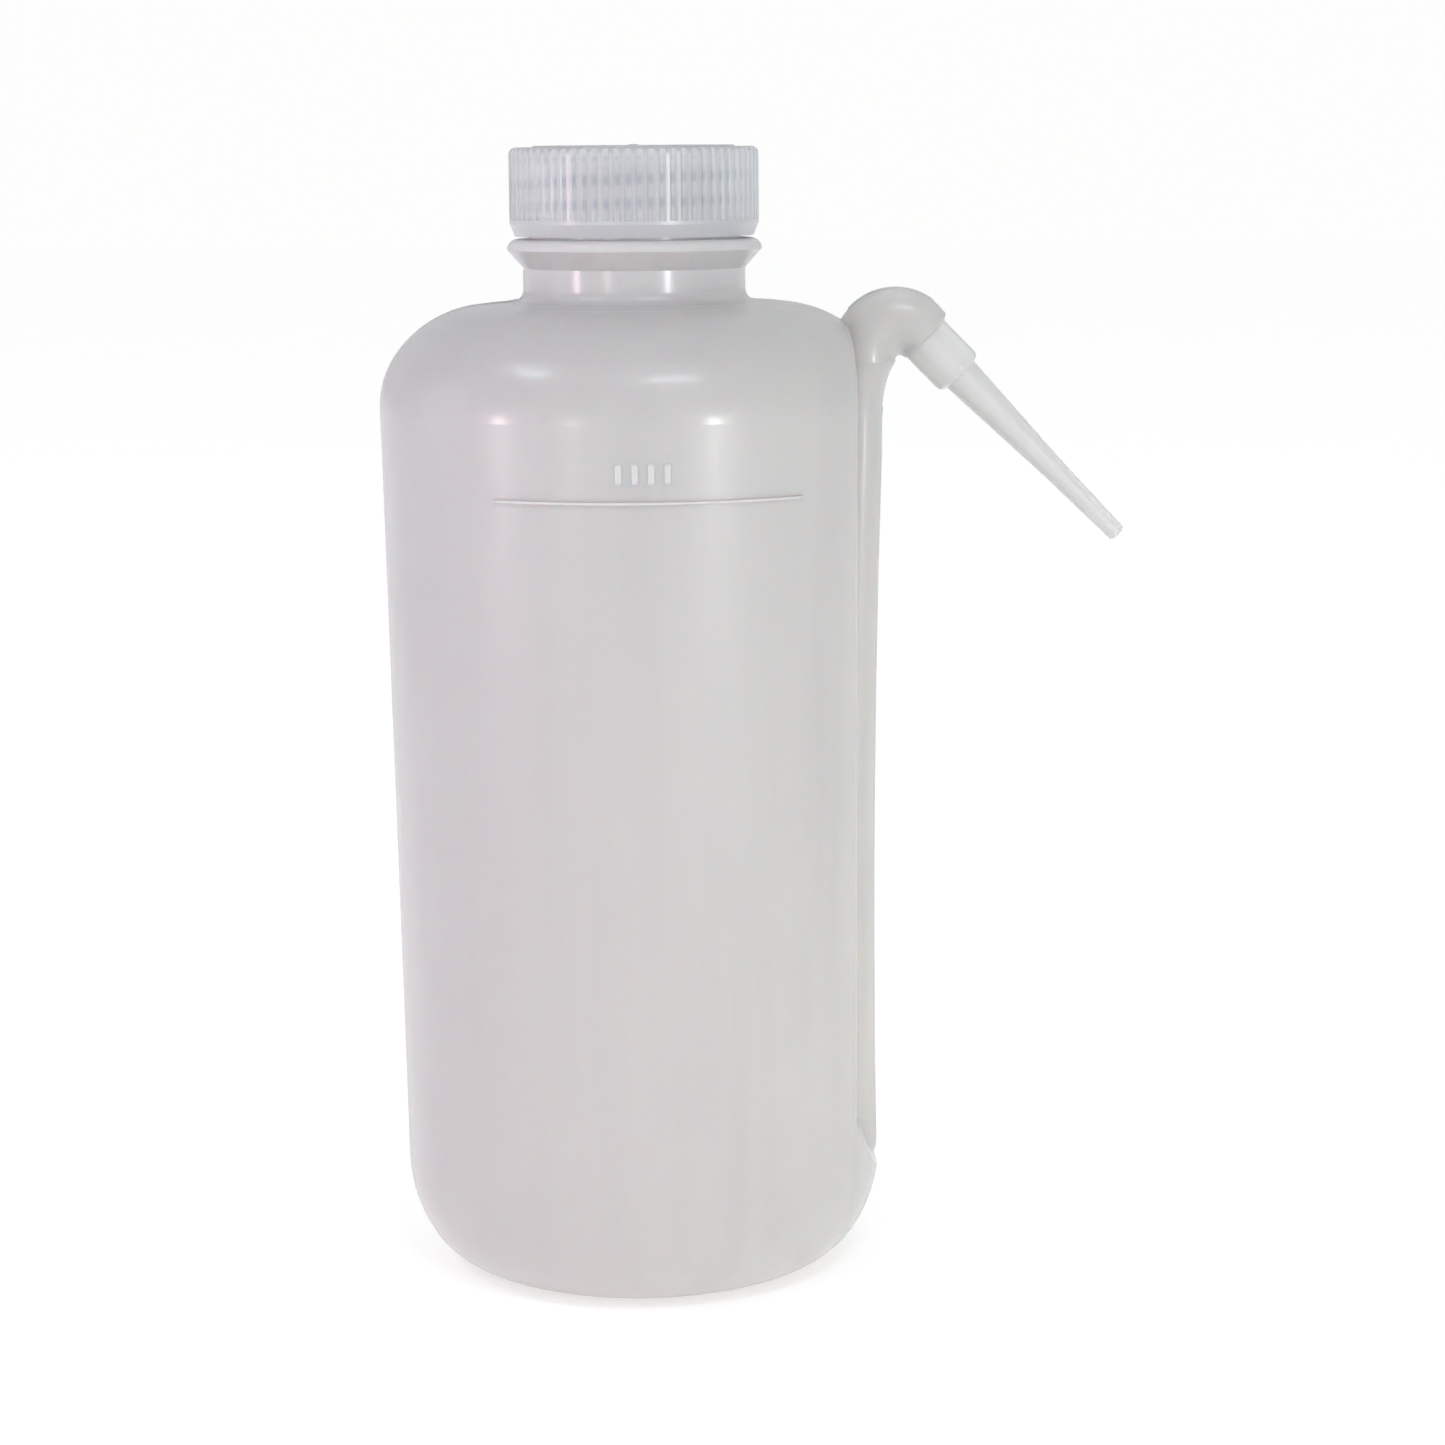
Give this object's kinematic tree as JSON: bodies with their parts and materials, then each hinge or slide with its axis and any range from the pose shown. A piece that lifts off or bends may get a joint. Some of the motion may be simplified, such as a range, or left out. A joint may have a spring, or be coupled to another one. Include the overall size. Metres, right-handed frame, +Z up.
{
  "type": "wash bottle",
  "caption": "Squeeze wash bottle with a moulded-in side tube and elbow, a push-in tapered nozzle, and a ribbed screw closure with a seal liner.",
  "frame": {"origin": "centre of the bottle's base, in the plane of the ring it stands on", "axes": "+Z up along the bottle's axis; +X towards the side tube and the nozzle; the graduation line faces -Y"},
  "size_m": [0.1152, 0.079, 0.1745],
  "materials": {
    "bottle_plastic": "satin",
    "nozzle_plastic": "satin",
    "closure_plastic": "satin",
    "liner_foam": "matte"
  },
  "bodies": {
    "bottle": {"bottle_body": "bottle_plastic"},
    "liner": {"closure_liner": "liner_foam"},
    "closure": {"screw_closure": "closure_plastic"},
    "nozzle": {"dispensing_nozzle": "nozzle_plastic"}
  },
  "joints": [
    {"name": "closure_lift", "type": "slide", "parent": "bottle", "child": "liner", "axis": [0, 0, 1], "range_m": [0, 0.0126]},
    {"name": "closure_turn", "type": "hinge", "parent": "liner", "child": "closure", "pos_m": [0, 0, 0.1678], "axis": [0, 0, 1], "range_deg": [0, 1260]},
    {"name": "nozzle_pull", "type": "slide", "parent": "bottle", "child": "nozzle", "axis": [0.702, 0, -0.7122], "range_m": [0, 0.01]}
  ],
  "couplings": [
    {"joint": "closure_lift", "follows": "closure_turn", "m_per_rad": 0.00057296}
  ]
}
